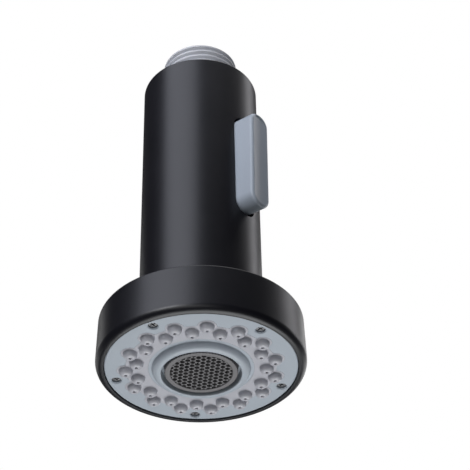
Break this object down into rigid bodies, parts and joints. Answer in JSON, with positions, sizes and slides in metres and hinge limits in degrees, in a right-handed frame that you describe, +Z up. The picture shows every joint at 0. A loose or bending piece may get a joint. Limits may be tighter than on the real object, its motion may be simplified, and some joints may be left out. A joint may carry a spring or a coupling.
{
  "type": "kitchen faucet spray head",
  "caption": "Pull-down kitchen faucet spray head: black handle and round head, grey side rocker button, rubber-nozzle spray face around an aerator, threaded hose inlet.",
  "frame": {"origin": "on the handle's axis, in the plane the head stands on (the spray collar's edge)", "axes": "+Z up the handle to the hose inlet; the spray face looks along -Z; the side button faces -Y"},
  "size_m": [0.053, 0.053, 0.1053],
  "materials": {
    "shell_black": "satin black",
    "grey_plastic": "satin blue-grey",
    "face_grey": "smooth pale grey",
    "silicone_grey": "soft warm grey",
    "strainer_blue_grey": "moulded blue-grey",
    "inner_white": "moulded off-white",
    "inner_grey": "moulded grey",
    "rubber_black": "matt black",
    "steel": "stainless",
    "aerator_grey": "dark warm grey"
  },
  "bodies": {
    "spray_head": {"outer_shell": "shell_black", "inlet_nipple": "grey_plastic", "inlet_o_rings": "rubber_black", "inlet_screws": "steel", "check_valve_body": "inner_white", "check_valve_retainer": "inner_white", "check_valve_spring": "steel", "valve_core": "inner_white", "plunger_bushes": "inner_grey", "plunger_o_rings": "rubber_black", "rocker_cradle": "shell_black", "cradle_screws": "steel", "rocker_pin": "steel", "manifold_o_ring": "rubber_black", "spray_manifold": "inner_white", "face_o_ring": "rubber_black", "stream_o_ring": "rubber_black", "face_plate": "face_grey", "nozzle_mat": "silicone_grey", "face_screws": "steel", "aerator_seal": "rubber_black", "aerator_housing": "aerator_grey", "aerator_filter": "aerator_grey", "aerator_insert": "inner_white", "aerator_screen": "aerator_grey"},
    "rocker": {"rocker_button": "grey_plastic"},
    "upper_valve": {"upper_plunger": "grey_plastic", "upper_plunger_seal": "rubber_black"},
    "lower_valve": {"lower_plunger": "grey_plastic", "lower_plunger_seal": "rubber_black"},
    "poppet": {"check_valve_poppet": "inner_grey", "check_valve_seal": "rubber_black"},
    "strainer": {"strainer_cartridge": "strainer_blue_grey"}
  },
  "joints": [
    {"name": "rocker_tilt", "type": "hinge", "parent": "spray_head", "child": "rocker", "pos_m": [0, -0.0116, 0.0592], "axis": [-1, 0, 0], "range_deg": [0, 6]},
    {"name": "upper_plunger_slide", "type": "slide", "parent": "spray_head", "child": "upper_valve", "axis": [0, 1, 0], "range_m": [0, 0.00116]},
    {"name": "lower_plunger_slide", "type": "slide", "parent": "spray_head", "child": "lower_valve", "axis": [0, -1, 0], "range_m": [0, 0.00116]},
    {"name": "poppet_slide", "type": "slide", "parent": "spray_head", "child": "poppet", "axis": [0, 0, -1], "range_m": [0, 0.0022], "stiffness_N_per_m": 80, "springref_m": -0.003, "deforming": ["check_valve_spring"]},
    {"name": "strainer_lift", "type": "slide", "parent": "spray_head", "child": "strainer", "axis": [0, 0, 1], "range_m": [0, 0.03]}
  ],
  "couplings": [
    {"joint": "upper_plunger_slide", "follows": "rocker_tilt", "m_per_rad": 0.011},
    {"joint": "lower_plunger_slide", "follows": "rocker_tilt", "m_per_rad": 0.011}
  ]
}
